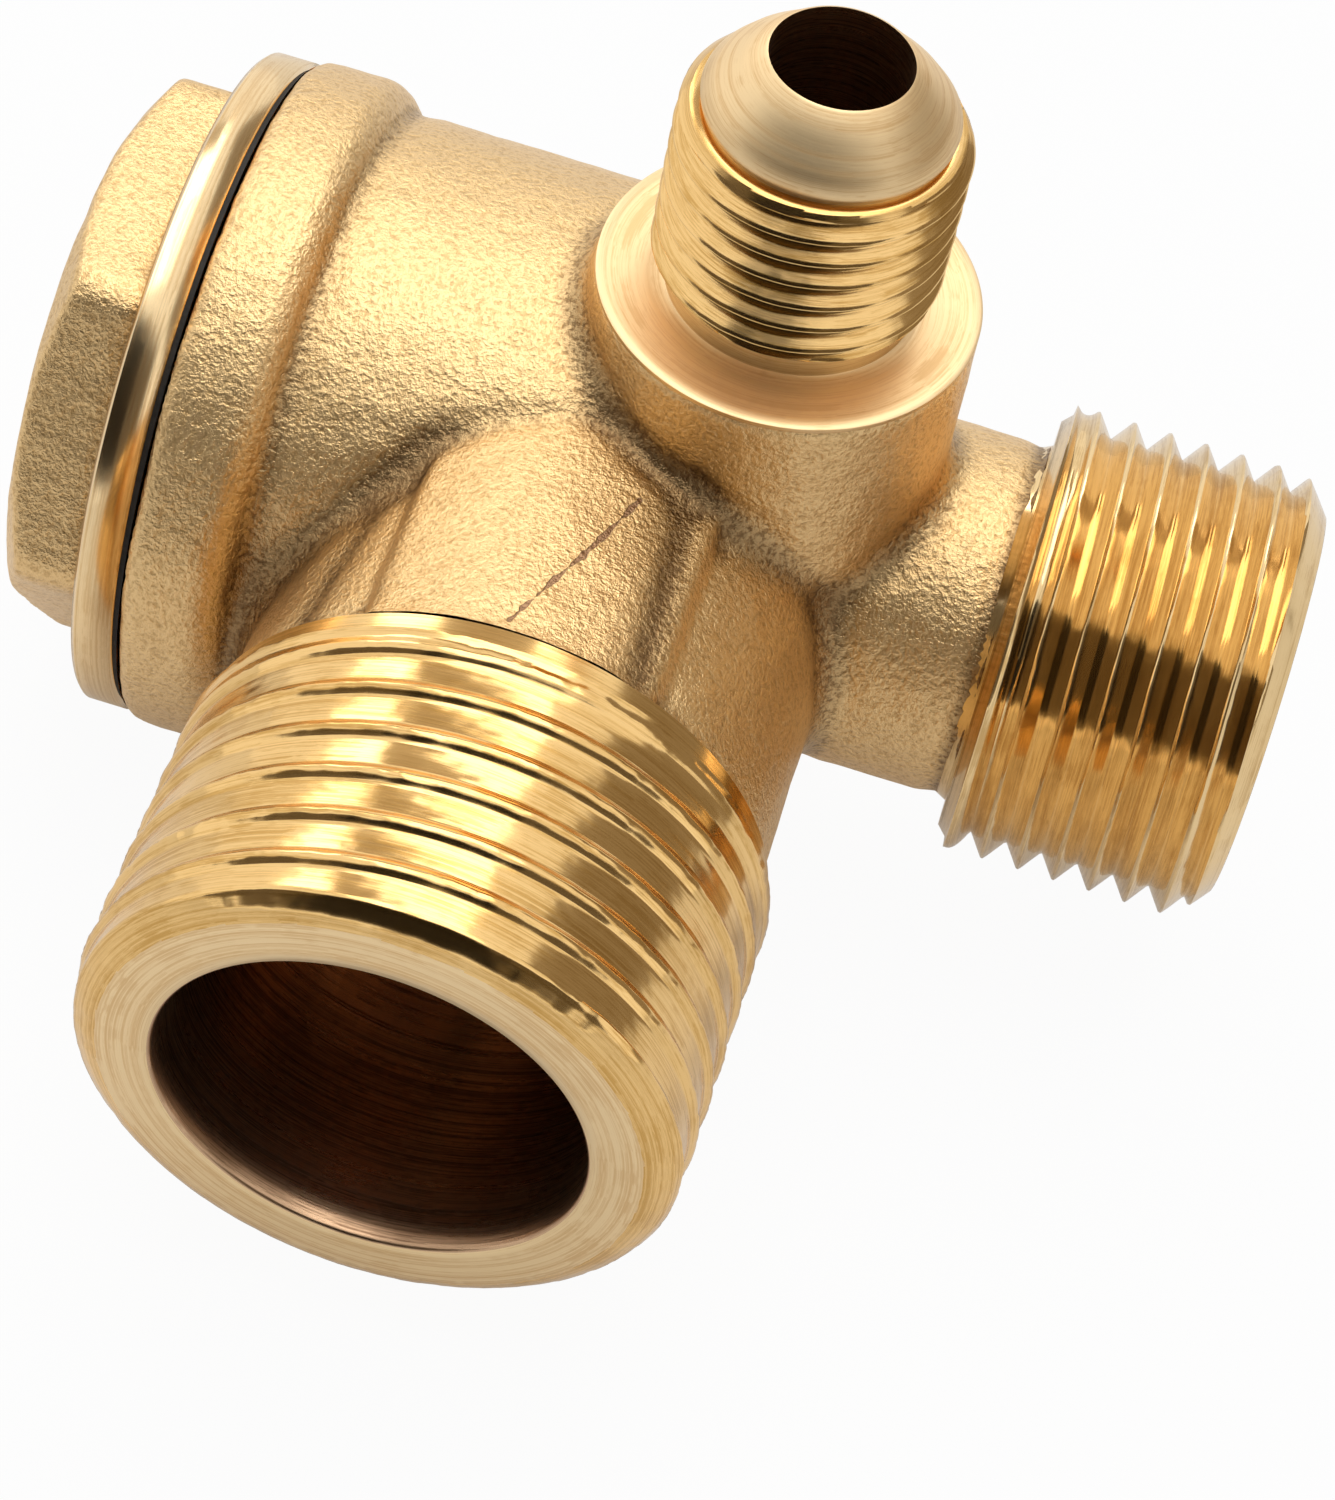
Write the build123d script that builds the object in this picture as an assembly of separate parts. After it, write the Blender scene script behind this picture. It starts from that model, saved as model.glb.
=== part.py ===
from build123d import *

import os
from math import cos, radians, sin, sqrt, tan

# Air compressor non-return valve: a brass body with three ports, closed by a hexagon cap.
# The chamber and the inlet lie on X, inlet at +X and cap at -X. The tank port points along -Y
# and the unloader port along +Z. The origin is where the chamber's axis meets the tank port's.
# All sizes are millimetres, and all angles are degrees.

# Pipe and plug threads, as major diameters
TANK_THREAD_D = 20.955
INLET_THREAD_D = 16.662
UNLOADER_THREAD_D = 10.0
CAP_THREAD_D = 20.0

# Chamber barrel, its flange round the cap's thread, and its domed end
FLANGE_LAND = 2.5
FLANGE_FACE_X = -14.28
FLANGE_LENGTH = 3.68
FLANGE_ROUND = 1.5
FLANGE_BEVEL = 0.3
BARREL_D = 23.2
DOME_CENTRE_X = -1.0
CHAMBER_STEP = 0.8
CAP_THREAD_RUNOUT = 0.8

# Seat between the chamber and the inlet
SEAT_X = 0.0
SEAT_HEIGHT = 0.9
SEAT_LIP = 1.0
SEAT_LIP_BEVEL = 0.3

# Inlet port
NECK_D = 13.2
INLET_FACE_X = 25.0
INLET_THREAD_LENGTH = 10.0
INLET_START_BEVEL = 0.4
INLET_END_D = 14.2
INLET_END_BEVEL = 1.0
INLET_BORE_D = 10.0
INLET_MOUTH_BEVEL = 0.4

# Tank port
BRANCH_D = 19.4
TANK_FACE_Y = 28.25
TANK_THREAD_LENGTH = 12.6
TANK_COLLAR_D = 20.34
TANK_COLLAR_WIDTH = 0.9
TANK_RIM_D = 19.8
TANK_RIM_DEPTH = 0.35
TANK_END_D = 18.2
TANK_END_BEVEL = 1.0
TANK_BORE_D = 14.8
TANK_BORE_FLOOR_Y = 6.6

# Raised pads above and below the tank port
PAD_D = 20.1
PAD_WIDTH = 10.0
PAD_ROUND = 0.15

# Unloader port, with its flare cone
UNLOADER_X = 4.8
BOSS_D = 13.4
BOSS_TOP_Z = 13.4
UNDERCUT_D = 8.7
UNDERCUT_WIDTH = 0.9
UNLOADER_THREAD_BEVEL = 0.4
CONE_GROOVE_D = 8.3
CONE_GROOVE_WIDTH = 0.3
CONE_RIM_WIDTH = 0.2
CONE_BASE_D = 8.7
CONE_BASE_Z = 21.75
CONE_TIP_D = 5.0
CONE_TIP_Z = 23.75
UNLOADER_BORE_D = 4.8

# Cast blends, where the branches leave the barrel and where its dome runs into the neck
CAST_BLEND = 1.2
NECK_BLEND = 1.2

# Hexagon cap
CAP_FLANGE_INSET = 0.25
CAP_FLANGE_THICKNESS = 1.48
CAP_FLANGE_BEVEL = 0.15
HEX_ACROSS_FLATS = 19.0
HEX_HEIGHT = 3.5
HEX_CORNER = 1.5
HEX_FACE_D = 18.4
HEX_BEVEL_ANGLE = 30.0
HEX_TURN = 58.5
CAP_SPIGOT_LENGTH = 6.12
CAP_SPIGOT_BEVEL = 0.7
CAP_THREAD_CLEARANCE = 0.1
SPRING_POCKET_DEPTH = 4.4
GUIDE_WALL = 1.3
GUIDE_SPARE_DEPTH = 0.8

# Gasket under the cap's flange
GASKET_THICKNESS = 0.24
GASKET_RECESS = 0.25
GASKET_BORE_CLEARANCE = 0.15

# Poppet and the seal disc in its face
POPPET_D = 14.4
POPPET_THICKNESS = 2.7
POPPET_BEVEL = 0.3
HUB_D = 8.6
HUB_HEIGHT = 0.8
STEM_D = 5.0
STEM_LENGTH = 8.2
STEM_BEVEL = 0.4
STEM_CLEARANCE = 0.05
SEAL_D = 12.6
SEAL_THICKNESS = 1.4
SEAL_PROUD = 0.5
SEAL_CLEARANCE = 0.05

# Return spring
SPRING_WIRE_D = 0.7
SPRING_CLEARANCE = 0.3
SPRING_TURNS = 5.5

# Places and sizes that follow from the ones above
flange_d = CAP_THREAD_D + 2 * FLANGE_LAND
chamber_d = CAP_THREAD_D - 2 * CHAMBER_STEP
cap_flange_d = flange_d - 2 * CAP_FLANGE_INSET
gasket_d = cap_flange_d - 2 * GASKET_RECESS
flange_end_x = FLANGE_FACE_X + FLANGE_LENGTH
inlet_thread_x = INLET_FACE_X - INLET_THREAD_LENGTH
tank_thread_y = TANK_FACE_Y - TANK_THREAD_LENGTH
seat_floor_x = SEAT_X + SEAT_HEIGHT
seat_lip_d = INLET_BORE_D + 2 * SEAT_LIP
thread_top_z = CONE_BASE_Z - CONE_RIM_WIDTH - CONE_GROOVE_WIDTH
cap_face_x = FLANGE_FACE_X - GASKET_THICKNESS
hex_base_x = cap_face_x - CAP_FLANGE_THICKNESS
hex_end_x = hex_base_x - HEX_HEIGHT
spigot_end_x = cap_face_x + CAP_SPIGOT_LENGTH
cap_thread_end_x = spigot_end_x + CAP_THREAD_RUNOUT
spring_floor_x = spigot_end_x - SPRING_POCKET_DEPTH
poppet_face_x = SEAT_X - SEAL_PROUD
poppet_back_x = poppet_face_x - POPPET_THICKNESS
hub_end_x = poppet_back_x - HUB_HEIGHT
stem_tip_x = hub_end_x - STEM_LENGTH
poppet_travel = hub_end_x - spigot_end_x
guide_d = STEM_D + 2 * STEM_CLEARANCE
guide_floor_x = stem_tip_x - poppet_travel - GUIDE_SPARE_DEPTH
spring_inner_d = HUB_D + 2 * SPRING_CLEARANCE
spring_mean_d = spring_inner_d + SPRING_WIRE_D
spring_pocket_d = spring_mean_d + SPRING_WIRE_D + 2 * SPRING_CLEARANCE


def turned(points):
    """Solid turned about X from (x, radius) pairs, closed along the axis."""
    ring = [*points, (points[-1][0], 0), (points[0][0], 0)]
    return revolve(make_face(Polyline(*ring, close=True)), Axis.X)


def rod(start_x, end_x, diameter):
    """Plain cylinder on X."""
    return turned([(start_x, diameter / 2), (end_x, diameter / 2)])


def toward_tank(solid):
    """Turns what was made along +X to point along -Y."""
    return solid.rotate(Axis.Z, -90)


def toward_unloader(solid):
    """Turns what was made along +X to point along +Z, on the unloader port's axis."""
    return solid.rotate(Axis.Y, -90).translate((UNLOADER_X, 0, 0))


# Valve body: the casting, before machining
def barrel_and_neck():
    """Flange with a rounded shoulder, the barrel, its domed end and the neck of the inlet."""
    flange_r = flange_d / 2
    barrel_r = BARREL_D / 2
    neck_r = NECK_D / 2
    drop = flange_r - barrel_r
    shoulder_x = flange_end_x - FLANGE_ROUND
    dome_reach = sqrt(barrel_r ** 2 - neck_r ** 2)
    face_corner = (FLANGE_FACE_X, flange_r - FLANGE_BEVEL)
    bevel_end = (FLANGE_FACE_X + FLANGE_BEVEL, flange_r)
    shoulder = (shoulder_x, flange_r)
    bulge = (shoulder_x + FLANGE_ROUND * sin(radians(45)), flange_r - drop * (1 - cos(radians(45))))
    crease = (flange_end_x, barrel_r)
    dome_start = (DOME_CENTRE_X, barrel_r)
    dome_middle = (DOME_CENTRE_X + barrel_r * sin(radians(30)), barrel_r * cos(radians(30)))
    dome_end = (DOME_CENTRE_X + dome_reach, neck_r)
    neck_end = (inlet_thread_x, neck_r)
    outline = [
        Line((FLANGE_FACE_X, 0), face_corner),
        Line(face_corner, bevel_end),
        Line(bevel_end, shoulder),
        ThreePointArc(shoulder, bulge, crease),
        Line(crease, dome_start),
        ThreePointArc(dome_start, dome_middle, dome_end),
        Line(dome_end, neck_end),
        Line(neck_end, (inlet_thread_x, 0)),
        Line((inlet_thread_x, 0), (FLANGE_FACE_X, 0)),
    ]
    section = make_face(outline)
    neck_corner = section.vertices().sort_by_distance((*dome_end, 0))[0]
    return revolve(fillet(neck_corner, NECK_BLEND), Axis.X)


def blended(solid, branch):
    """Joins a branch to the casting and rounds the crease between them."""
    joined = solid + branch
    crease = new_edges(solid, branch, combined=joined).filter_by(GeomType.BSPLINE)
    return fillet(crease, CAST_BLEND)


def casting():
    """Barrel, tank branch and unloader boss, blended where they meet, with the pads on the branch."""
    branch = toward_tank(rod(0, tank_thread_y, BRANCH_D))
    boss = toward_unloader(rod(0, BOSS_TOP_Z, BOSS_D))
    pad_section = Circle(PAD_D / 2) & Rectangle(PAD_WIDTH, PAD_D)
    pad_section = fillet(pad_section.vertices(), PAD_ROUND)
    pads = extrude(Plane.XZ * pad_section, tank_thread_y)
    return blended(blended(barrel_and_neck(), branch), boss) + pads


# Valve body: the turned ends that carry the threads
def inlet_end():
    thread_r = INLET_THREAD_D / 2
    return turned([
        (inlet_thread_x, thread_r - INLET_START_BEVEL),
        (inlet_thread_x + INLET_START_BEVEL, thread_r),
        (INLET_FACE_X - INLET_END_BEVEL, thread_r),
        (INLET_FACE_X, INLET_END_D / 2),
    ])


def tank_end():
    thread_r = TANK_THREAD_D / 2
    collar_r = TANK_COLLAR_D / 2
    collar_end = tank_thread_y + TANK_COLLAR_WIDTH
    return toward_tank(turned([
        (tank_thread_y, collar_r),
        (collar_end, collar_r),
        (collar_end + thread_r - collar_r, thread_r),
        (TANK_FACE_Y - TANK_END_BEVEL, thread_r),
        (TANK_FACE_Y - TANK_RIM_DEPTH, TANK_RIM_D / 2),
        (TANK_FACE_Y, TANK_END_D / 2),
    ]))


def unloader_end():
    thread_r = UNLOADER_THREAD_D / 2
    undercut_top = BOSS_TOP_Z + UNDERCUT_WIDTH
    groove_top = thread_top_z + CONE_GROOVE_WIDTH
    return toward_unloader(turned([
        (BOSS_TOP_Z, UNDERCUT_D / 2),
        (undercut_top, UNDERCUT_D / 2),
        (undercut_top + UNLOADER_THREAD_BEVEL, thread_r),
        (thread_top_z - UNLOADER_THREAD_BEVEL, thread_r),
        (thread_top_z, thread_r - UNLOADER_THREAD_BEVEL),
        (thread_top_z, CONE_GROOVE_D / 2),
        (groove_top, CONE_GROOVE_D / 2),
        (groove_top, CONE_BASE_D / 2),
        (CONE_BASE_Z, CONE_BASE_D / 2),
        (CONE_TIP_Z, CONE_TIP_D / 2),
    ]))


# Valve body: the bores
def chamber_and_inlet_bore():
    """Threaded mouth for the cap, the chamber, the groove round the seat's lip, and the inlet."""
    inlet_r = INLET_BORE_D / 2
    lip_r = seat_lip_d / 2
    return turned([
        (FLANGE_FACE_X, CAP_THREAD_D / 2),
        (cap_thread_end_x, CAP_THREAD_D / 2),
        (cap_thread_end_x, chamber_d / 2),
        (seat_floor_x, chamber_d / 2),
        (seat_floor_x, lip_r),
        (SEAT_X + SEAT_LIP_BEVEL, lip_r),
        (SEAT_X, lip_r - SEAT_LIP_BEVEL),
        (SEAT_X, inlet_r),
        (INLET_FACE_X - INLET_MOUTH_BEVEL, inlet_r),
        (INLET_FACE_X, inlet_r + INLET_MOUTH_BEVEL),
    ])


def valve_body():
    tank_bore = toward_tank(rod(TANK_BORE_FLOOR_Y, TANK_FACE_Y, TANK_BORE_D))
    unloader_bore = toward_unloader(rod(0, CONE_TIP_Z, UNLOADER_BORE_D))
    solid = casting() + inlet_end() + tank_end() + unloader_end()
    return solid - chamber_and_inlet_bore() - tank_bore - unloader_bore


# Hexagon cap, with the spring's pocket and the guide for the stem
def hexagon():
    """Cast hexagon with rounded corners, its outer end bevelled by a cone."""
    bevel_r = HEX_ACROSS_FLATS / 2 / cos(radians(30))
    face_r = HEX_FACE_D / 2
    section = RegularPolygon(HEX_ACROSS_FLATS / 2, 6, major_radius=False)
    section = fillet(section.vertices(), HEX_CORNER)
    prism = extrude(section, HEX_HEIGHT).rotate(Axis.Z, HEX_TURN - 90)
    prism = prism.rotate(Axis.Y, -90).translate((hex_base_x, 0, 0))
    bevelled = turned([
        (hex_base_x, bevel_r),
        (hex_end_x + (bevel_r - face_r) * tan(radians(HEX_BEVEL_ANGLE)), bevel_r),
        (hex_end_x, face_r),
    ])
    return prism & bevelled


def hex_cap():
    flange_r = cap_flange_d / 2
    spigot_r = CAP_THREAD_D / 2 - CAP_THREAD_CLEARANCE
    flange_and_spigot = turned([
        (hex_base_x, flange_r - CAP_FLANGE_BEVEL),
        (hex_base_x + CAP_FLANGE_BEVEL, flange_r),
        (cap_face_x, flange_r),
        (cap_face_x, spigot_r),
        (spigot_end_x - CAP_SPIGOT_BEVEL, spigot_r),
        (spigot_end_x, spigot_r - CAP_SPIGOT_BEVEL),
    ])
    pocket = rod(spring_floor_x, spigot_end_x, spring_pocket_d)
    guide = rod(spring_floor_x, spigot_end_x, guide_d + 2 * GUIDE_WALL)
    guide_bore = rod(guide_floor_x, spigot_end_x, guide_d)
    return hexagon() + flange_and_spigot - (pocket - guide) - guide_bore


# Gasket: a flat ring between the cap's flange and the body's
def cap_gasket():
    ring = rod(cap_face_x, FLANGE_FACE_X, gasket_d)
    return ring - rod(cap_face_x, FLANGE_FACE_X, CAP_THREAD_D + 2 * GASKET_BORE_CLEARANCE)


# Poppet: a disc with a recess for the seal, a hub that centres the spring, and a stem
def poppet():
    disc_r = POPPET_D / 2
    stem_r = STEM_D / 2
    solid = turned([
        (poppet_face_x, disc_r - POPPET_BEVEL),
        (poppet_face_x - POPPET_BEVEL, disc_r),
        (poppet_back_x + POPPET_BEVEL, disc_r),
        (poppet_back_x, disc_r - POPPET_BEVEL),
        (poppet_back_x, HUB_D / 2),
        (hub_end_x, HUB_D / 2),
        (hub_end_x, stem_r),
        (stem_tip_x + STEM_BEVEL, stem_r),
        (stem_tip_x, stem_r - STEM_BEVEL),
    ])
    return solid - rod(SEAT_X - SEAL_THICKNESS, poppet_face_x, SEAL_D + 2 * SEAL_CLEARANCE)


# Seal disc: rubber, standing proud of the poppet's face so that it meets the seat's lip
def seal_disc():
    return rod(SEAT_X - SEAL_THICKNESS, SEAT_X, SEAL_D)


# Return spring: one helix of round wire between the poppet's back and the pocket's floor
def return_spring():
    wire_r = SPRING_WIRE_D / 2
    start_x = spring_floor_x + wire_r
    height = poppet_back_x - wire_r - start_x
    path = Helix(height / SPRING_TURNS, height, spring_mean_d / 2)
    wire = sweep(Plane(path @ 0, z_dir=path % 0) * Circle(wire_r), path)
    return wire.rotate(Axis.Y, 90).translate((start_x, 0, 0))


os.makedirs("parts", exist_ok=True)
export_step(valve_body(), "parts/valve_body.step")
export_step(hex_cap(), "parts/hex_cap.step")
export_step(cap_gasket(), "parts/cap_gasket.step")
export_step(poppet(), "parts/poppet.step")
export_step(seal_disc(), "parts/seal_disc.step")
export_step(return_spring(), "parts/return_spring.step")
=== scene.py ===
from math import cos, exp, hypot, pi, radians, sin

import bmesh
import bpy
import numpy as np
from mathutils import Matrix, Vector, noise


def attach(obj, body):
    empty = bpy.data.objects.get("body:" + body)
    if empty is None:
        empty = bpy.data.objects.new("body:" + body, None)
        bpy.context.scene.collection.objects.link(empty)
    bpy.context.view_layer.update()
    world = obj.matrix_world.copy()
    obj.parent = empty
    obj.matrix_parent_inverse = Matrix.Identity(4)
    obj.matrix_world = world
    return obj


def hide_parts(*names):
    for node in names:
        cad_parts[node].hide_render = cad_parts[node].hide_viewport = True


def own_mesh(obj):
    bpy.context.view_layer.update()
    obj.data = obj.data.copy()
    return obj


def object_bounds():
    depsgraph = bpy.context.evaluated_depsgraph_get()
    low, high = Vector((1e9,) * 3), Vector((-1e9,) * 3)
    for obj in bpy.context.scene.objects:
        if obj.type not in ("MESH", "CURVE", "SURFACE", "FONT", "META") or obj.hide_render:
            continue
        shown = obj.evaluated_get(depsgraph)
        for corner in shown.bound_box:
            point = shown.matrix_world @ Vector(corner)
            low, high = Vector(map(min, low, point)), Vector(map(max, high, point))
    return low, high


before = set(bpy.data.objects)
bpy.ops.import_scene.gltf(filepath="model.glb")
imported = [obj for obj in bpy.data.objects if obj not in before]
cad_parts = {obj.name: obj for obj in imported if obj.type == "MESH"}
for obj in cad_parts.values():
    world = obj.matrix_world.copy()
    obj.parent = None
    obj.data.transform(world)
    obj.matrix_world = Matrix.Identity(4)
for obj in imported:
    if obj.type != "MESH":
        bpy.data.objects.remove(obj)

cad_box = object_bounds()

# Every size below is in millimetres until MM makes it metres.
MM = 0.001

# Camera. It stands close above the tank port and looks down on it at about 51 degrees, with the
# pump's inlet to the right and the unloader's flare standing up.
CAMERA_PLACE = (14.125, -106.334, 118.245)
CAMERA_RIGHT = (0.95459, 0.26225, 0.14137)
CAMERA_DOWN = (0.29217, -0.73111, -0.61654)
CAMERA_LENS = 105.22
CAMERA_SENSOR = 36

right = Vector(CAMERA_RIGHT).normalized()
forward = right.cross(Vector(CAMERA_DOWN)).normalized()
up = right.cross(forward).normalized()
camera = bpy.data.objects.new("camera", bpy.data.cameras.new("camera"))
camera.data.lens = CAMERA_LENS
camera.data.sensor_width = CAMERA_SENSOR
camera.data.clip_start = 0.01
camera.matrix_world = (
    Matrix.Translation(Vector(CAMERA_PLACE) * MM)
    @ Matrix((right, up, -forward)).transposed().to_4x4()
)
bpy.context.collection.objects.link(camera)
bpy.context.scene.camera = camera
bpy.context.scene.view_settings.view_transform = "Standard"


# Shader maths. A number on a surface is worked out with plain operators, and each of them adds
# one Math node.
class Amount:
    def __init__(self, paint, socket):
        self.paint = paint
        self.socket = socket

    def maths(self, operation, *numbers):
        return self.paint.node("ShaderNodeMath", {"operation": operation}, dict(enumerate(numbers)))

    def __add__(self, other):
        return self.maths("ADD", self, other)

    def __sub__(self, other):
        return self.maths("SUBTRACT", self, other)

    def __rsub__(self, other):
        return self.maths("SUBTRACT", other, self)

    def __mul__(self, other):
        return self.maths("MULTIPLY", self, other)

    def __truediv__(self, other):
        return self.maths("DIVIDE", self, other)

    def __pow__(self, other):
        return self.maths("POWER", self, other)

    __radd__ = __add__
    __rmul__ = __mul__

    def at_most(self, other):
        return self.maths("MINIMUM", self, other)

    def at_least(self, other):
        return self.maths("MAXIMUM", self, other)

    def stepped(self, low, high):
        """0 below low, 1 above high, and smooth between."""
        return self.paint.node(
            "ShaderNodeMapRange",
            {"interpolation_type": "SMOOTHSTEP"},
            {"Value": self, "From Min": low, "From Max": high},
        )


class Paint:
    """One material or world while it is mixed."""

    def __init__(self, owner):
        owner.use_nodes = True
        self.owner = owner
        self.tree = owner.node_tree
        self.tree.nodes.clear()

    def node(self, kind, settings, inputs, output=0):
        made = self.tree.nodes.new(kind)
        for name, value in settings.items():
            setattr(made, name, value)
        for name, value in inputs.items():
            if isinstance(value, Amount):
                self.tree.links.new(value.socket, made.inputs[name])
            else:
                made.inputs[name].default_value = value
        return Amount(self, made.outputs[output]) if made.outputs else None

    def position(self):
        return self.node("ShaderNodeTexCoord", {}, {}, "Object")

    def vector(self, operation, *inputs, output=0):
        settings = {"operation": operation}
        return self.node("ShaderNodeVectorMath", settings, dict(enumerate(inputs)), output)

    def parts(self, vector):
        """The three numbers of a vector."""
        return [self.node("ShaderNodeSeparateXYZ", {}, {0: vector}, axis) for axis in range(3)]

    def away_from_line(self, where, start, end):
        """Millimetres from the straight line between two points, themselves in millimetres."""
        reach = (Vector(end) - Vector(start)) * MM
        offset = self.vector("SUBTRACT", where, Vector(start) * MM)
        share = self.vector("DOT_PRODUCT", offset, reach, output=1) / reach.length_squared
        share = share.at_least(0.0).at_most(1.0)
        nearest = self.node("ShaderNodeVectorMath", {"operation": "SCALE"}, {0: reach, 3: share})
        return self.vector("DISTANCE", offset, nearest, output=1) / MM

    def grain(self, where, size, detail=2.0, roughness=0.5):
        """Noise from 0 to 1, with lumps of about the size given in millimetres."""
        inputs = {
            "Vector": where,
            "Scale": 1 / (size * MM),
            "Detail": detail,
            "Roughness": roughness,
        }
        return self.node("ShaderNodeTexNoise", {}, inputs)

    def blend(self, share, first, second):
        """Colour that goes from the first to the second as share goes from 0 to 1."""
        return self.node("ShaderNodeMix", {"data_type": "RGBA"}, {0: share, 6: first, 7: second}, 2)

    def bump(self, height, depth):
        """Normal for a surface whose height runs from 0 to 1 over a depth in millimetres."""
        inputs = {"Strength": 1.0, "Distance": depth * MM, "Height": height}
        return self.node("ShaderNodeBump", {}, inputs)

    def skin(self, **sockets):
        """Closes the material with a Principled shader."""
        named = {name.replace("_", " "): value for name, value in sockets.items()}
        shader = self.node("ShaderNodeBsdfPrincipled", {}, named)
        self.node("ShaderNodeOutputMaterial", {}, {"Surface": shader})
        return self.owner


# Floor and studio. A plain white table under a wide softbox, with one more softbox behind on the
# left. Dark and grey cards stand where the camera and the photographer stand, so that the
# bright metal has something dark to reflect; only reflections see them.
FLOOR_REACH = 1200
FLOOR_COLOUR = (0.86, 0.86, 0.86, 1)
FLOOR_SHADE = (0.8, 0.8, 0.8, 1)
FLOOR_CLOUD_SIZE = 40
FLOOR_CLOUD_SHARE = 0.03
FLOOR_WHITE_SHARE = 0.95
FLOOR_SHEEN_SHARE = 0.22
CARD_COLOUR = (1, 0.84, 0.64, 1)
WORLD_FILL = 0.42
SOFTBOXES = {
    "overhead": {"place": (-30, 150, 520), "size": (420, 700), "watts": 1.7},
    "back_left": {"place": (-318, 353, 297), "size": (130, 220), "watts": 0.2},
}
CARDS = {
    "camera_card": {"place": (-34, -364, 262), "size": (420, 450), "level": 0.02},
    "front_card": {"place": (-22, -403, 262), "size": (1500, 510), "level": 0.13},
    "gap_card": {"place": (-98, 269, 307), "size": (230, 110), "level": 0.45},
    "right_card": {"place": (402, 187, 78), "size": (640, 500), "level": 0.28},
}


def sheet(name, width, depth):
    """Flat rectangle with its middle at the origin, facing +Z."""
    mesh = bpy.data.meshes.new(name)
    x = width / 2 * MM
    y = depth / 2 * MM
    mesh.from_pydata([(-x, -y, 0), (x, -y, 0), (x, y, 0), (-x, y, 0)], [], [(0, 1, 2, 3)])
    made = bpy.data.objects.new(name, mesh)
    bpy.context.collection.objects.link(made)
    return made


def facing_origin(place):
    """Turns +Z of a thing at this place toward the object."""
    return (-Vector(place)).to_track_quat("Z", "Y")


def ray_kind(paint, kind):
    """1 for rays of this kind and 0 for all others."""
    return paint.node("ShaderNodeLightPath", {}, {}, kind)


floor = sheet("floor", FLOOR_REACH, FLOOR_REACH)
floor.location.z = cad_box[0].z
paint = Paint(bpy.data.materials.new("white_table"))
cloudy = paint.grain(paint.position(), FLOOR_CLOUD_SIZE)
table_colour = paint.blend(cloudy * FLOOR_CLOUD_SHARE, FLOOR_COLOUR, FLOOR_SHADE)
table = paint.node("ShaderNodeBsdfDiffuse", {}, {"Color": table_colour})
white = paint.node("ShaderNodeEmission", {}, {"Color": (1, 1, 1, 1), "Strength": 1.0})
share = ray_kind(paint, "Is Camera Ray") * FLOOR_WHITE_SHARE
share = share.at_least(ray_kind(paint, "Is Glossy Ray") * FLOOR_SHEEN_SHARE)
both = paint.node("ShaderNodeMixShader", {}, {0: share, 1: table, 2: white})
paint.node("ShaderNodeOutputMaterial", {}, {"Surface": both})
floor.data.materials.append(paint.owner)

world = bpy.data.worlds.new("studio")
bpy.context.scene.world = world
paint = Paint(world)
background = ray_kind(paint, "Is Camera Ray").at_least(ray_kind(paint, "Is Glossy Ray"))
level = WORLD_FILL + background * (1 - WORLD_FILL)
sky = paint.node("ShaderNodeBackground", {}, {"Color": (1, 1, 1, 1), "Strength": level})
paint.node("ShaderNodeOutputWorld", {}, {"Surface": sky})

for name, box in SOFTBOXES.items():
    lamp = bpy.data.lights.new(name, "AREA")
    lamp.shape = "RECTANGLE"
    lamp.size = box["size"][0] * MM
    lamp.size_y = box["size"][1] * MM
    lamp.energy = box["watts"]
    softbox = bpy.data.objects.new(name, lamp)
    softbox.location = Vector(box["place"]) * MM
    softbox.rotation_mode = "QUATERNION"
    # A lamp shines along its own -Z.
    softbox.rotation_quaternion = Vector(box["place"]).to_track_quat("Z", "Y")
    bpy.context.collection.objects.link(softbox)

for name, card in CARDS.items():
    made = sheet(name, *card["size"])
    made.location = Vector(card["place"]) * MM
    made.rotation_mode = "QUATERNION"
    made.rotation_quaternion = facing_origin(card["place"])
    paint = Paint(bpy.data.materials.new(name))
    grey = paint.node("ShaderNodeEmission", {}, {"Color": CARD_COLOUR, "Strength": card["level"]})
    paint.node("ShaderNodeOutputMaterial", {}, {"Surface": grey})
    made.data.materials.append(paint.owner)
    made.visible_camera = False
    made.visible_diffuse = False
    made.visible_shadow = False
    made.visible_transmission = False


# Brass casting. The valve's body is sand cast in one piece and then tumbled, so its skin keeps a
# fine grain and soft lumps; its hollows are painted brown as shade. The chamber, the seat, the
# bores and the face under the cap are machined.
CAST_VOXEL = 0.24
CAST_SOFTENING = 5
CAST_LUMP_SIZE = 0.9
CAST_LUMP_HEIGHT = 0.03
CAST_WAVE_SIZE = 3.5
CAST_WAVE_HEIGHT = 0.06
CAST_GRAIN_DEPTH = 0.13
CAST_ROUGHNESS = 0.4
CAST_GRAIN_SHINE = 0.08
SAND_SIZE = 0.2
SAND_SHARE = 0.65
SAND_STANDS_UP = (0.34, 0.54)
PEBBLE_SIZE = 0.75
PEBBLE_SHARE = 0.35
# Painted shade in the casting's hollows: how strong it is, how much less it is on grain that stands
# up, and where it starts and is full.
HOLLOW_SHADE_STRENGTH = 1.15
HOLLOW_SHADE_LESS_ON_GRAIN = 0.4
HOLLOW_SHADE_SHOWS = (0.1, 1.0)
HOLLOW_REACH = 30
HOLLOW_START = 0.03
HOLLOW_FULL = 0.2
HOLLOW_DEEPENING = 0.16
CAST_BRIGHT = (0.87, 0.6, 0.29, 1)
CAST_PIT = (0.66, 0.43, 0.19, 1)
CAST_HOLLOW_SHADE = (0.24, 0.145, 0.065, 1)
LATHE_PATCH_SIZE = 2.5
LATHE_PATCH_DRIFT = 0.25
LATHE_SCRATCH_SIZE = 0.07
LATHE_FEED_SIZE = 0.3
LATHE_SCRATCH_HEIGHT = 0.3
LATHE_FEED_HEIGHT = 0.7
LATHE_SCRATCH_TONE = 0.5
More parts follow.
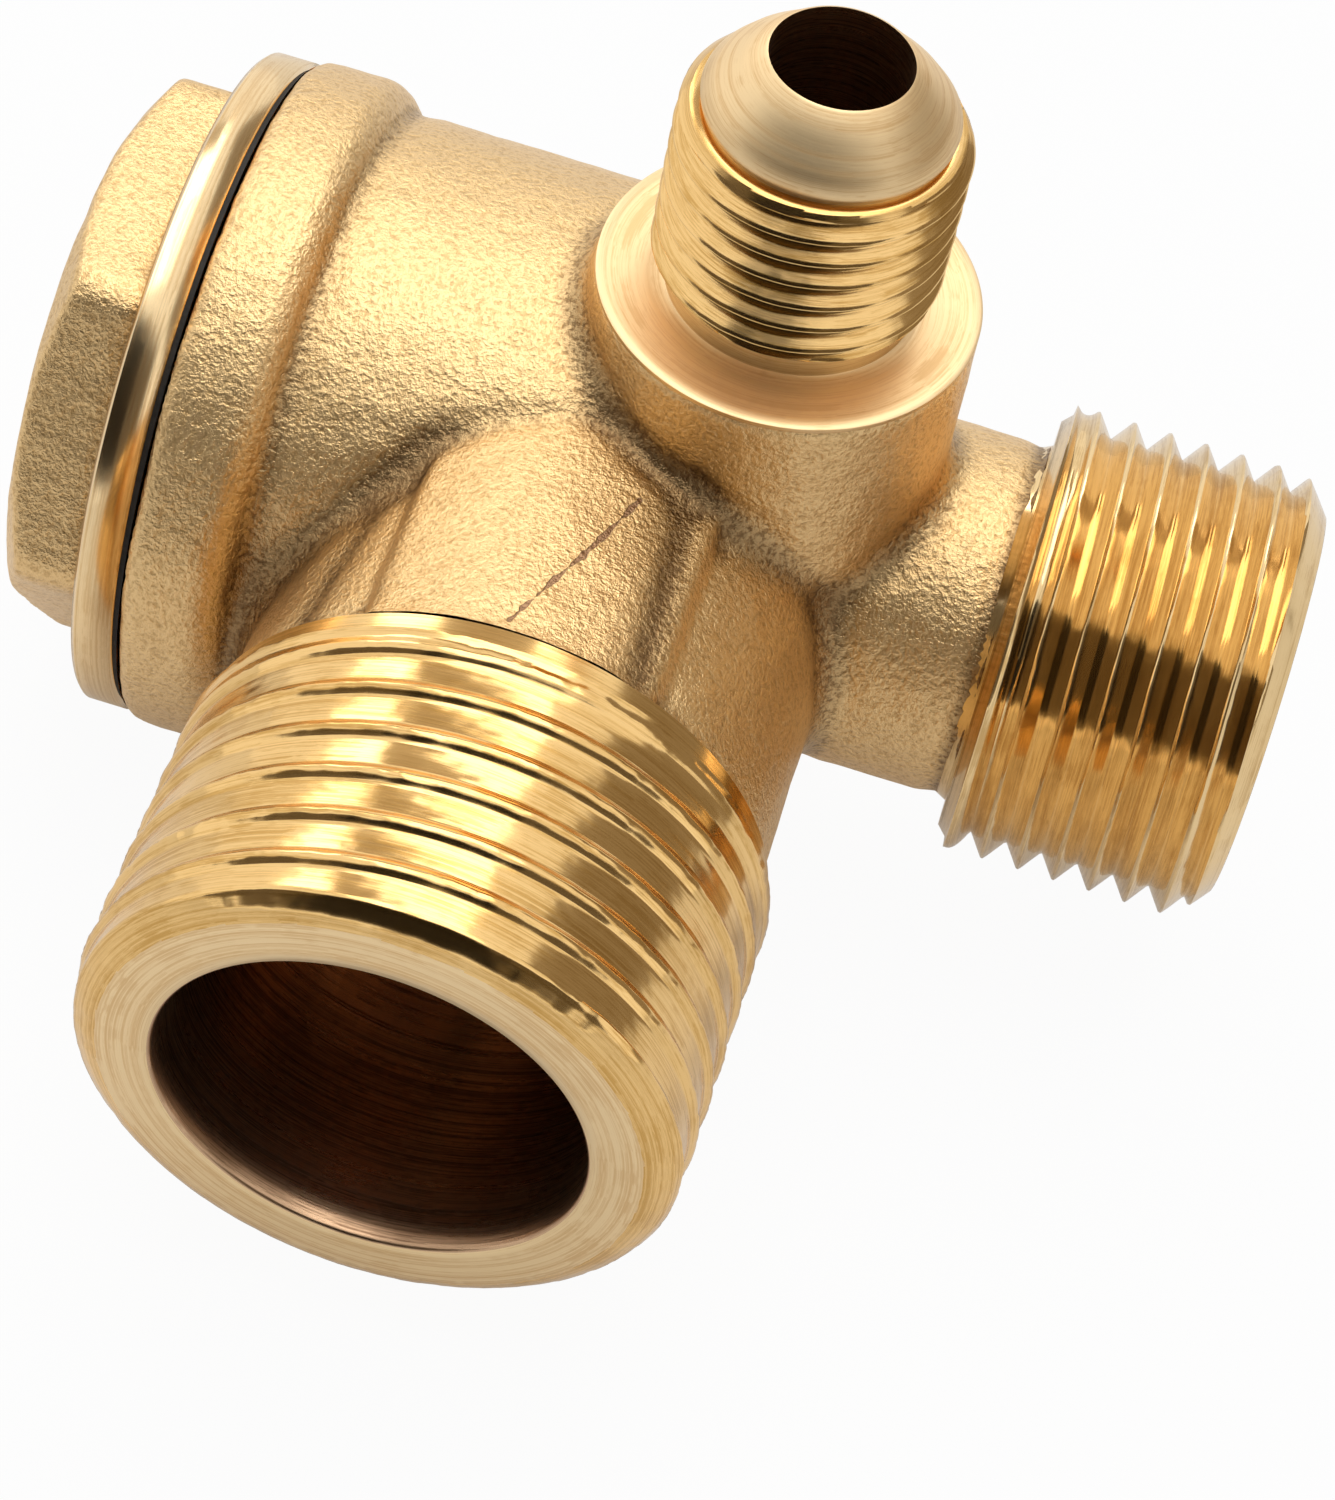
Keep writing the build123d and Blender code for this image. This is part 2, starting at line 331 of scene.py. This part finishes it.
LATHE_FEED_TONE = 0.3
LATHE_PATCH_TONE = 0.2
LATHE_TONES = (0.38, 0.56)
LATHE_DARK_DULLNESS = 0.08
LATHE_SCRATCH_DULLNESS = 0.06
X_AXIS = 0
Y_AXIS = 1
Z_AXIS = 2
TURNED_BRIGHT = (0.93, 0.61, 0.25, 1)
TURNED_DEEP = (0.66, 0.38, 0.11, 1)
# Darker brown for the chamber and the bores inside.
BORE_BRIGHT = (0.66, 0.43, 0.26, 1)
BORE_DEEP = (0.26, 0.145, 0.08, 1)
# Paler brass for the flare, the cap's turned flange and the tank port's end face. On the end face
# it is painted reflection: lighter than the thread, standing in for the bright floor that face
# reflects.
PALE_BRIGHT = (0.95, 0.71, 0.4, 1)
PALE_DEEP = (0.78, 0.52, 0.25, 1)
SCRATCH_COLOUR = (0.34, 0.2, 0.11, 1)
SCRATCH_WANDER_SIZE = 0.9
SCRATCH_WANDER = 0.55
SCRATCH_DEPTH = 0.3
PAD_SCRATCH = [
    (2.26, -8.19, 9.79), (1.51, -10.54, 9.94), (0.71, -12.59, 10.02), (-0.27, -15.08, 10.05),
]
PAD_SCRATCH_WIDTH = 0.07
# Valleys beside the pad. They are pressed in, and painted shade darkens them like the hollows.
VALLEYS = [
    [(-5.09, -6.76, 8.67), (-6.4, -9.5, 7.76), (-7.1, -12.4, 7.12), (-7.6, -15.1, 6.6)],
    [(3.6, -6.5, 9.4), (3.9, -8.6, 9.25), (4.1, -11.7, 9.15), (4.3, -15.1, 9.1)],
]
VALLEY_WIDTH = 0.75
FACED_X = -14.2
BARREL_CUT_X = -14.27
NECK_CUT_X = 14.9
BRANCH_CUT_Y = -15.5
BOSS_CUT_Z = 13.22
CHAMBER_END_X = 1.3
CHAMBER_REACH = 10.3
INLET_BORE_REACH = 5.6
TANK_BORE_REACH = 8.0
UNLOADER_BORE_REACH = 3.0
UNLOADER_X = 4.8
# Planes past which the ports' own bores take over, each a point and the way out.
INSIDE_CUTS = [((22, 0, 0), (1, 0, 0)), ((0, -20, 0), (0, -1, 0)), ((0, 0, 13), (0, 0, 1))]
WELD_METRES = 1e-7
CUT_METRES = 1e-8


def cast_brass(name):
    """Tumbled sand-cast brass: bright where the grain stands up, brown in pits, and darkened in
    hollows as painted shade.
    """
    paint = Paint(bpy.data.materials.new(name))
    where = paint.position()
    sand = paint.grain(where, SAND_SIZE, detail=3.0, roughness=0.65)
    pebbles = paint.grain(where, PEBBLE_SIZE, detail=1.0)
    height = sand * SAND_SHARE + pebbles * PEBBLE_SHARE
    stands_up = sand.stepped(*SAND_STANDS_UP)
    colour = paint.blend(stands_up, CAST_PIT, CAST_BRIGHT)
    # Painted shade: the hollows and the valleys beside the pad are darkened towards brown, less
    # where the grain stands up.
    hollow = paint.node("ShaderNodeAttribute", {"attribute_name": "hollow"}, {}, "Fac")
    hollow_shade = (hollow * (HOLLOW_SHADE_STRENGTH - stands_up * HOLLOW_SHADE_LESS_ON_GRAIN)).stepped(*HOLLOW_SHADE_SHOWS)
    colour = paint.blend(hollow_shade, colour, CAST_HOLLOW_SHADE)
    wander = (paint.grain(where, SCRATCH_WANDER_SIZE, detail=3.0) - 0.5) * SCRATCH_WANDER
    scratch = None
    for start, end in zip(PAD_SCRATCH, PAD_SCRATCH[1:]):
        line = paint.away_from_line(where, start, end)
        scratch = scratch.at_most(line) if scratch else line
    bare = (scratch + wander).stepped(PAD_SCRATCH_WIDTH / 2, PAD_SCRATCH_WIDTH)
    colour = paint.blend(bare, SCRATCH_COLOUR, colour)
    return paint.skin(
        Base_Color=colour,
        Metallic=1.0,
        Roughness=CAST_ROUGHNESS - stands_up * CAST_GRAIN_SHINE,
        Normal=paint.bump(height + bare * SCRATCH_DEPTH, CAST_GRAIN_DEPTH),
    )


def turned_brass(
    name, axis, centre=(0, 0, 0), roughness=0.2, depth=0.006, bright=TURNED_BRIGHT, deep=TURNED_DEEP
):
    """Brass off the lathe: rings of fine tool marks round an axis, each fading in and out."""
    paint = Paint(bpy.data.materials.new(name))
    where = paint.vector("SUBTRACT", paint.position(), Vector(centre) * MM)
    patches = paint.grain(where, LATHE_PATCH_SIZE, detail=3.0, roughness=0.6)
    parts = paint.parts(where)
    along, across, over = parts[axis:] + parts[:axis]
    radius = (across * across + over * over) ** 0.5
    drift = patches * (LATHE_PATCH_DRIFT * MM)
    ring = paint.node("ShaderNodeCombineXYZ", {}, {0: along, 1: radius, 2: drift})
    scratches = paint.grain(ring, LATHE_SCRATCH_SIZE, detail=3.0, roughness=0.7)
    feed = paint.grain(ring, LATHE_FEED_SIZE, detail=2.0, roughness=0.6)
    height = scratches * LATHE_SCRATCH_HEIGHT + feed * LATHE_FEED_HEIGHT
    tone = scratches * LATHE_SCRATCH_TONE + feed * LATHE_FEED_TONE + patches * LATHE_PATCH_TONE
    tone = tone.stepped(*LATHE_TONES)
    dullness = (1 - tone) * LATHE_DARK_DULLNESS
    return paint.skin(
        Base_Color=paint.blend(tone, deep, bright),
        Metallic=1.0,
        Roughness=roughness + dullness + scratches * LATHE_SCRATCH_DULLNESS,
        Normal=paint.bump(height, depth),
    )


def loose_mesh(node):
    """Welded copy of a solid's mesh, in a bmesh."""
    work = bmesh.new()
    work.from_mesh(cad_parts[node].data)
    bmesh.ops.remove_doubles(work, verts=work.verts, dist=WELD_METRES)
    return work


def finished_piece(name, work, body, node, materials, sharp):
    """Puts a bmesh on a body in place of its node, smooth but for edges sharper than the angle."""
    mesh = bpy.data.meshes.new(name)
    bmesh.ops.recalc_face_normals(work, faces=work.faces)
    work.to_mesh(mesh)
    work.free()
    for material in materials:
        mesh.materials.append(material)
    mesh.shade_smooth()
    mesh.set_sharp_from_angle(angle=radians(sharp))
    made = bpy.data.objects.new(name, mesh)
    bpy.context.collection.objects.link(made)
    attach(made, body)
    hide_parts(node)
    return made


def remeshed(node, voxel):
    """The solid's mesh made again in even small squares, so that the cast skin can be uneven."""
    work = loose_mesh(node)
    mesh = bpy.data.meshes.new("remeshing")
    work.to_mesh(mesh)
    work.free()
    block = bpy.data.objects.new("remeshing", mesh)
    bpy.context.collection.objects.link(block)
    squares = block.modifiers.new("squares", "REMESH")
    squares.mode = "VOXEL"
    squares.voxel_size = voxel * MM
    bpy.context.view_layer.update()
    depsgraph = bpy.context.evaluated_depsgraph_get()
    even = bpy.data.meshes.new_from_object(block.evaluated_get(depsgraph))
    bpy.data.objects.remove(block)
    work = bmesh.new()
    work.from_mesh(even)
    bpy.data.meshes.remove(even)
    bpy.data.meshes.remove(mesh)
    return work


def cut_off(work, point, outward):
    """Cuts flat across at a point and drops what lies outward of it."""
    geometry = [*work.verts, *work.edges, *work.faces]
    bmesh.ops.bisect_plane(
        work, geom=geometry, plane_co=Vector(point) * MM, plane_no=outward,
        clear_outer=True, dist=CUT_METRES,
    )


def softened(work, times):
    """Evens the skin out, so that its edges and creases are as round as a casting's."""
    for _ in range(times):
        bmesh.ops.smooth_vert(
            work, verts=work.verts, factor=0.5, use_axis_x=True, use_axis_y=True, use_axis_z=True
        )


def hollow_shares(work):
    """How deep each point lies in a hollow, from 0 to 1: how far the skin round it stands above."""
    work.verts.index_update()
    work.normal_update()
    spots = np.array([vert.co for vert in work.verts])
    normals = np.array([vert.normal for vert in work.verts])
    ends = np.array([[vert.index for vert in edge.verts] for edge in work.edges])
    degree = np.bincount(ends.ravel(), minlength=len(spots))
    around = spots
    for _ in range(HOLLOW_REACH):
        sums = []
        for axis in range(3):
            first = np.bincount(ends[:, 0], around[ends[:, 1], axis], len(spots))
            second = np.bincount(ends[:, 1], around[ends[:, 0], axis], len(spots))
            sums.append((first + second) / degree)
        around = np.stack(sums, 1)
    depth = ((around - spots) * normals).sum(1) / MM
    return np.clip((depth - HOLLOW_START) / (HOLLOW_FULL - HOLLOW_START), 0, 1)


def in_valley(spot):
    """1 in the middle of a valley beside the pad, and less away from it."""
    gaps = []
    for line in VALLEYS:
        for start, end in zip(map(Vector, line), map(Vector, line[1:])):
            reach = end - start
            share = min(1.0, max(0.0, (spot - start).dot(reach) / reach.length_squared))
            gaps.append((spot - start.lerp(end, share)).length)
    return exp(-((min(gaps) / VALLEY_WIDTH) ** 2))


def deepened(work):
    """Presses the hollows further in and keeps their shares on the points, where the paint darkens
    them as painted shade.
    """
    layer = work.verts.layers.float.new("hollow")
    for vert, share in zip(list(work.verts), hollow_shares(work).tolist()):
        share = min(1.0, share + in_valley(vert.co / MM))
        vert[layer] = share
        vert.co -= vert.normal * share * HOLLOW_DEEPENING * MM


def roughen(work):
    """Moves each point of a cast skin in or out by two sizes of noise."""
    work.normal_update()
    moves = []
    for vert in work.verts:
        spot = vert.co / MM
        lump = noise.noise(spot / CAST_LUMP_SIZE) * CAST_LUMP_HEIGHT
        wave = noise.noise(spot / CAST_WAVE_SIZE) * CAST_WAVE_HEIGHT
        moves.append((vert, vert.normal * (lump + wave) * MM))
    for vert, move in moves:
        vert.co += move


def machined(point):
    """True inside the chamber and the three bores, and on the face under the cap."""
    x, y, z = point / MM
    from_chamber = hypot(y, z)
    chamber = x < CHAMBER_END_X and from_chamber < CHAMBER_REACH
    inlet = x > 0 and from_chamber < INLET_BORE_REACH
    tank = y < 0 and hypot(x, z) < TANK_BORE_REACH
    unloader = z > 0 and hypot(x - UNLOADER_X, y) < UNLOADER_BORE_REACH
    return x < FACED_X or chamber or inlet or tank or unloader


def keep_faces(work, wanted):
    """Drops the faces whose middle the test turns down."""
    dropped = [face for face in work.faces if not wanted(face.calc_center_median())]
    bmesh.ops.delete(work, geom=dropped, context="FACES")


def joined(work, other, material_of):
    """Adds the second bmesh to the first. The middle of a face says which material it gets."""
    for face in other.faces:
        face.material_index = material_of(face.calc_center_median())
    mesh = bpy.data.meshes.new("joining")
    other.to_mesh(mesh)
    other.free()
    work.from_mesh(mesh)
    bpy.data.meshes.remove(mesh)


skin = remeshed("valve_body", CAST_VOXEL)
softened(skin, CAST_SOFTENING)
deepened(skin)
roughen(skin)
keep_faces(skin, lambda middle: not machined(middle))
cut_off(skin, (BARREL_CUT_X, 0, 0), (-1, 0, 0))
cut_off(skin, (NECK_CUT_X, 0, 0), (1, 0, 0))
cut_off(skin, (0, BRANCH_CUT_Y, 0), (0, -1, 0))
cut_off(skin, (0, 0, BOSS_CUT_Z), (0, 0, 1))

inside = loose_mesh("valve_body")
keep_faces(inside, machined)
for point, outward in INSIDE_CUTS:
    cut_off(inside, point, outward)
joined(skin, inside, lambda middle: 1 if middle.x < FACED_X * MM else 2)

casting_paint = cast_brass("cast_brass")
faced_paint = turned_brass("turned_face", X_AXIS)
inside_paint = turned_brass("turned_inside", Y_AXIS, bright=BORE_BRIGHT, deep=BORE_DEEP)
casting_paints = [casting_paint, faced_paint, inside_paint]
casting = finished_piece("valve_casting", skin, "valve", "valve_body", casting_paints, sharp=40)


# Tank port. A male half-inch pipe thread, cut on the lathe with a blunt tool: broad, almost flat
# grooves between narrow ridges whose tops are torn a little, a rounded end and a plain bore
# painted a darker brown than the thread.
TANK_THREAD = {
    "pitch": 1.814, "major": 10.4775, "depth": 0.24, "tear": 0.045, "phase": 0.1818,
    "ridge": [(0.0, 0.0), (0.023, 0.0), (0.091, 0.3), (0.136, 0.5), (0.182, 0.96), (0.5, 1.0)],
}
TANK_AROUND = 300
TANK_ROWS_A_TURN = 22
TANK_START_HEIGHT = 16.55
TANK_FACE_HEIGHT = 28.25
TANK_RUN_OUT = 1.1
TANK_END = [(27.25, 10.4775), (27.7, 10.2), (28.05, 9.75), (28.25, 9.3)]
TANK_BORE_EDGE = 7.46
TANK_FACED_HEIGHT = 28.24
TEAR_SIZE = 0.45
WAVER_SIZE = 1.7
RIDGE_TEAR = 1.2
ROW_WELD_METRES = 1e-8
SLIVER_METRES = 1e-9


def ridge_shape(turn, thread):
    """Share of the thread's depth at so many turns from a ridge. Each thread lists it as pairs of
    turns from the ridge's middle and share, and it is the same on both sides of the ridge."""
    away = abs((turn + 0.5) % 1 - 0.5)
    turns = [spot[0] for spot in thread["ridge"]]
    shares = [spot[1] for spot in thread["ridge"]]
    return np.interp(away, turns, shares)


def threaded_end(around, rows_a_turn, thread, start, end, run_out, limit, before, after, place):
    """Mesh of a threaded port. Its rows of points follow the helix, so each ridge stays crisp.
    before and after are (height, radius) rings below and beyond the thread, limit lists the
    largest radius at some heights, and place puts (height, radius, angle) into space."""
    limit_heights = [spot[0] for spot in limit]
    limit_radii = [spot[1] for spot in limit]
    pitch = thread["pitch"]
    rows = round(rows_a_turn * ((end - start) / pitch + 1)) + 1
    points = []
    columns = len(before) + rows + len(after)
    for step in range(around):
        angle = 2 * pi * step / around
        lead = pitch * step / around
        for height, radius in before:
            points.append(place(height, radius, angle))
        for row in range(rows):
            height = start - pitch + pitch * row / rows_a_turn + lead
            height = min(max(height, start), end)
            turn = (height - lead) / pitch - thread["phase"]
            fade = min(1.0, max(0.0, (height - start) / run_out)) if run_out else 1.0
            share = ridge_shape(turn, thread)
            largest = np.interp(height, limit_heights, limit_radii)
            spot = Vector((cos(angle), sin(angle), 0)) * thread["major"] + Vector((0, 0, height))
            torn = (noise.noise(spot / TEAR_SIZE) + noise.noise(spot / WAVER_SIZE)) * thread["tear"]
            torn_off = abs(torn) * (RIDGE_TEAR - share)
            radius = thread["major"] - thread["depth"] * share * fade - torn_off
            points.append(place(height, min(radius, largest - abs(torn)), angle))
        for height, radius in after:
            points.append(place(height, radius, angle))
    work = bmesh.new()
    verts = [work.verts.new(point) for point in points]
    first = len(before)
    last = first + rows - 1
    for step in range(around):
        here = step * columns
        there = (step + 1) % around * columns
        seam = step == around - 1
        for column in range(columns - 1):
            shift = rows_a_turn if seam and first <= column < last else 0
            low = min(column + shift, last) if shift else column
            high = min(column + 1 + shift, last) if shift else column + 1
            corners = [
                verts[here + column], verts[there + low],
                verts[there + high], verts[here + column + 1],
            ]
            corners = list(dict.fromkeys(corners))
            if len(corners) > 2:
                work.faces.new(corners)
    bmesh.ops.remove_doubles(work, verts=work.verts, dist=ROW_WELD_METRES)
    bmesh.ops.dissolve_degenerate(work, edges=work.edges, dist=SLIVER_METRES)
    return work


def toward_tank(height, radius, angle):
    return Vector((radius * cos(angle), -height, radius * sin(angle))) * MM


tank_before = [(15.3, 9.5), (15.6, 9.9), (15.65, 10.17), (16.5, 10.2)]
tank_after = [
    (28.25, 8.6), (28.25, 8.0), (28.25, 7.5), (28.15, 7.4), (27.0, 7.4), (24.0, 7.4), (20.0, 7.4),
]
tank_mesh = threaded_end(
    TANK_AROUND, TANK_ROWS_A_TURN, TANK_THREAD, TANK_START_HEIGHT, TANK_FACE_HEIGHT, TANK_RUN_OUT,
    TANK_END, tank_before, tank_after, toward_tank,
)
for face in tank_mesh.faces:
    middle = face.calc_center_median() / MM
    if hypot(middle.x, middle.z) < TANK_BORE_EDGE:
        face.material_index = 1
    elif -middle.y > TANK_FACED_HEIGHT:
        face.material_index = 2
tank_paint = turned_brass("turned_tank_port", Y_AXIS, roughness=0.1, depth=0.0025)
bore_paint = turned_brass(
    "turned_bore", Y_AXIS, roughness=0.24, depth=0.02, bright=BORE_BRIGHT, deep=BORE_DEEP
)
# Painted reflection: the end face gets the paler brass, lighter than the thread, to stand in for
# the bright floor it reflects.
tank_face_paint = turned_brass(
    "turned_tank_face", Y_AXIS, roughness=0.26, bright=PALE_BRIGHT, deep=PALE_DEEP
)
tank_paints = [tank_paint, bore_paint, tank_face_paint]
tank_port = finished_piece("tank_port", tank_mesh, "valve", "valve_body", tank_paints, sharp=50)


# Pump inlet. A male three-eighths pipe thread with sharp ridges on a plain neck, flat at its end,
# with a bevelled mouth.
INLET_THREAD = {
    "pitch": 1.337, "major": 8.331, "depth": 0.82, "tear": 0.025, "phase": 0.0,
    "ridge": [(0.0, 0.0), (0.03, 0.0), (0.48, 1.0), (0.5, 1.0)],
}
INLET_AROUND = 260
INLET_ROWS_A_TURN = 16
INLET_START_X = 15.4
INLET_FACE_X = 25.0
INLET_RUN_OUT = 0.8
INLET_END = [(24.0, 8.331), (25.0, 7.1)]
INLET_BRIGHT = (0.9, 0.65, 0.33, 1)
INLET_DEEP = (0.64, 0.41, 0.17, 1)


def toward_pump(height, radius, angle):
    return Vector((height, radius * cos(angle), radius * sin(angle))) * MM


inlet_before = [(14.6, 6.5), (15.0, 6.7), (15.0, 7.6), (15.35, 7.95)]
inlet_after = [(25.0, 6.4), (25.0, 5.4), (24.6, 5.0), (22.0, 5.0)]
inlet_mesh = threaded_end(
    INLET_AROUND, INLET_ROWS_A_TURN, INLET_THREAD, INLET_START_X, INLET_FACE_X, INLET_RUN_OUT,
    INLET_END, inlet_before, inlet_after, toward_pump,
)
inlet_paint = turned_brass(
    "turned_inlet", X_AXIS, roughness=0.08, depth=0.0012, bright=INLET_BRIGHT, deep=INLET_DEEP
)
inlet_port = finished_piece(
    "inlet_port", inlet_mesh, "valve", "valve_body", [inlet_paint], sharp=50
)


# Unloader port. A small flare end: a 45 degree nose over an M10 thread, an undercut below it and
# a flat shoulder faced on top of the cast boss.
UNLOADER_THREAD = {
    "pitch": 1.0, "major": 5.0, "depth": 0.56, "tear": 0.012, "phase": 0.4375,
    "ridge": [(0.0, 0.0), (0.035, 0.0), (0.455, 1.0), (0.5, 1.0)],
}
UNLOADER_AROUND = 220
UNLOADER_ROWS_A_TURN = 16
UNLOADER_START_Z = 14.3
UNLOADER_END_Z = 21.25
UNLOADER_LIMIT = [(14.3, 4.35), (14.7, 5.0), (20.85, 5.0), (21.25, 4.6)]
UNLOADER_BORE_EDGE = 2.45


def toward_unloader(height, radius, angle):
    return Vector((UNLOADER_X + radius * cos(angle), radius * sin(angle), height)) * MM


unloader_before = [
    (13.0, 6.5), (13.2, 6.66), (13.36, 6.66), (13.42, 6.55), (13.42, 6.2), (13.42, 5.6),
    (13.4, 5.0), (13.42, 4.5), (13.5, 4.35), (14.2, 4.35),
]
unloader_after = [
    (21.25, 4.15), (21.55, 4.15), (21.55, 4.3), (21.75, 4.33), (22.3, 3.9), (23.0, 3.2),
    (23.7, 2.52), (23.75, 2.42), (23.5, 2.4), (22.0, 2.4), (18.0, 2.4), (13.0, 2.4),
]
unloader_mesh = threaded_end(
    UNLOADER_AROUND, UNLOADER_ROWS_A_TURN, UNLOADER_THREAD, UNLOADER_START_Z, UNLOADER_END_Z, 0.0,
    UNLOADER_LIMIT, unloader_before, unloader_after, toward_unloader,
)
for face in unloader_mesh.faces:
    middle = face.calc_center_median() / MM
    if hypot(middle.x - UNLOADER_X, middle.y) < UNLOADER_BORE_EDGE:
        face.material_index = 1
    elif UNLOADER_START_Z < middle.z < UNLOADER_END_Z:
        face.material_index = 2
unloader_axis = (UNLOADER_X, 0, 0)
unloader_paints = [
    turned_brass(
        "flare_and_shoulder", Z_AXIS, unloader_axis,
        roughness=0.4, depth=0.008, bright=PALE_BRIGHT, deep=PALE_DEEP,
    ),
    turned_brass(
        "turned_unloader_bore", Z_AXIS, unloader_axis,
        roughness=0.24, depth=0.01, bright=BORE_BRIGHT, deep=BORE_DEEP,
    ),
    turned_brass(
        "turned_unloader_thread", Z_AXIS, unloader_axis, roughness=0.12, depth=0.002
    ),
]
unloader_port = finished_piece(
    "unloader_port", unloader_mesh, "valve", "valve_body", unloader_paints, sharp=50
)


# Hexagon cap. Cast like the body, with a turned flange under the hexagon, and screwed down on
# the gasket. Its pocket holds the spring and its middle guides the poppet's stem.
CAP_VOXEL = 0.17
CAP_SOFTENING = 4
HEX_BASE_X = -16.0
CAP_SKIN_OVERLAP = 0.02
CAP_TURNED_OVERLAP = 0.05
CAP_PATCH_REACH = 0.3
CAP_PATCH_FACING = -0.7

cap_skin = remeshed("hex_cap", CAP_VOXEL)
softened(cap_skin, CAP_SOFTENING)
deepened(cap_skin)
roughen(cap_skin)
cut_off(cap_skin, (HEX_BASE_X - CAP_SKIN_OVERLAP, 0, 0), (1, 0, 0))
cap_skin.normal_update()
patch_edge = (HEX_BASE_X - CAP_PATCH_REACH) * MM
on_flange = [
    face for face in cap_skin.faces
    if face.normal.x < CAP_PATCH_FACING and face.calc_center_median().x > patch_edge
]
bmesh.ops.delete(cap_skin, geom=on_flange, context="FACES")
cap_turned = loose_mesh("hex_cap")
keep_faces(cap_turned, lambda middle: middle.x > (HEX_BASE_X - CAP_TURNED_OVERLAP) * MM)
joined(cap_skin, cap_turned, lambda middle: 1)
cap_paint = turned_brass(
    "turned_cap", X_AXIS, roughness=0.14, depth=0.004, bright=PALE_BRIGHT, deep=PALE_DEEP
)
cap_paints = [casting_paint, cap_paint]
cap = finished_piece("hexagon_cap", cap_skin, "valve", "hex_cap", cap_paints, sharp=35)


# Gasket, poppet and seal. The gasket is thin black fibre, of which only the edge shows. The
# poppet is moulded nylon, and its seal is a rubber disc pressed into its face.
GASKET_BLACK = (0.03, 0.028, 0.025, 1)
GASKET_DARK = (0.008, 0.008, 0.008, 1)
NYLON_PALE = (0.8, 0.77, 0.68, 1)
NYLON_DEEP = (0.7, 0.66, 0.56, 1)
RUBBER_BLACK = (0.022, 0.022, 0.022, 1)
RUBBER_DARK = (0.01, 0.01, 0.01, 1)
MOTTLE_TIMES_GRAIN = 8
GRAIN_SHARE = 0.6
MOTTLE_SHARE = 0.4
MOTTLE_TONES = (0.3, 0.7)
GRAIN_DULLNESS = 0.1


def plain_paint(name, colour, dark, roughness, size, depth):
    """Material with fine mottling and a grain of its own."""
    paint = Paint(bpy.data.materials.new(name))
    where = paint.position()
    fine = paint.grain(where, size, detail=3.0, roughness=0.6)
    broad = paint.grain(where, size * MOTTLE_TIMES_GRAIN)
    tone = (fine * GRAIN_SHARE + broad * MOTTLE_SHARE).stepped(*MOTTLE_TONES)
    return paint.skin(
        Base_Color=paint.blend(tone, dark, colour),
        Roughness=roughness + fine * GRAIN_DULLNESS,
        Normal=paint.bump(fine, depth),
    )


dressings = {
    "cap_gasket": plain_paint(
        "gasket_fibre", GASKET_BLACK, GASKET_DARK, roughness=0.6, size=0.2, depth=0.03
    ),
    "poppet": plain_paint(
        "poppet_nylon", NYLON_PALE, NYLON_DEEP, roughness=0.35, size=0.6, depth=0.006
    ),
    "seal_disc": plain_paint(
        "seal_rubber", RUBBER_BLACK, RUBBER_DARK, roughness=0.55, size=0.15, depth=0.01
    ),
}
for node, dressing in dressings.items():
    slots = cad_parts[node].data.materials
    slots.clear()
    slots.append(dressing)


# Return spring. Round steel wire in five and a half turns round the poppet's hub, its other end
# on the floor of the cap's pocket. The real spring shortens as the poppet lifts; here it is one
# fixed coil.
WIRE_D = 0.7
COIL_MEAN_D = 9.9
COIL_TURNS = 5.5
SPRING_FLOOR_X = -12.8
SPRING_HEAD_X = -3.2
WIRE_SIDES = 12
WIRE_STEPS_A_TURN = 48

coil_start = SPRING_FLOOR_X + WIRE_D / 2
coil_rise = SPRING_HEAD_X - WIRE_D / 2 - coil_start
steps = round(COIL_TURNS * WIRE_STEPS_A_TURN)
work = bmesh.new()
rings = []
for step in range(steps + 1):
    turned_by = 2 * pi * step / WIRE_STEPS_A_TURN
    height = coil_start + coil_rise * step / steps
    ring = []
    for side in range(WIRE_SIDES):
        round_wire = 2 * pi * side / WIRE_SIDES
        radius = COIL_MEAN_D / 2 + WIRE_D / 2 * cos(round_wire)
        along = height + WIRE_D / 2 * sin(round_wire)
        spot = (along, radius * cos(turned_by), radius * sin(turned_by))
        ring.append(work.verts.new(Vector(spot) * MM))
    rings.append(ring)
for ring, following in zip(rings, rings[1:]):
    for side in range(WIRE_SIDES):
        beside = (side + 1) % WIRE_SIDES
        work.faces.new([ring[side], ring[beside], following[beside], following[side]])
work.faces.new(rings[0])
work.faces.new(rings[-1][::-1])
spring_paint = turned_brass("spring_wire", X_AXIS, roughness=0.25)
spring = finished_piece(
    "return_spring_wire", work, "valve", "return_spring", [spring_paint], sharp=50
)
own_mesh(spring)
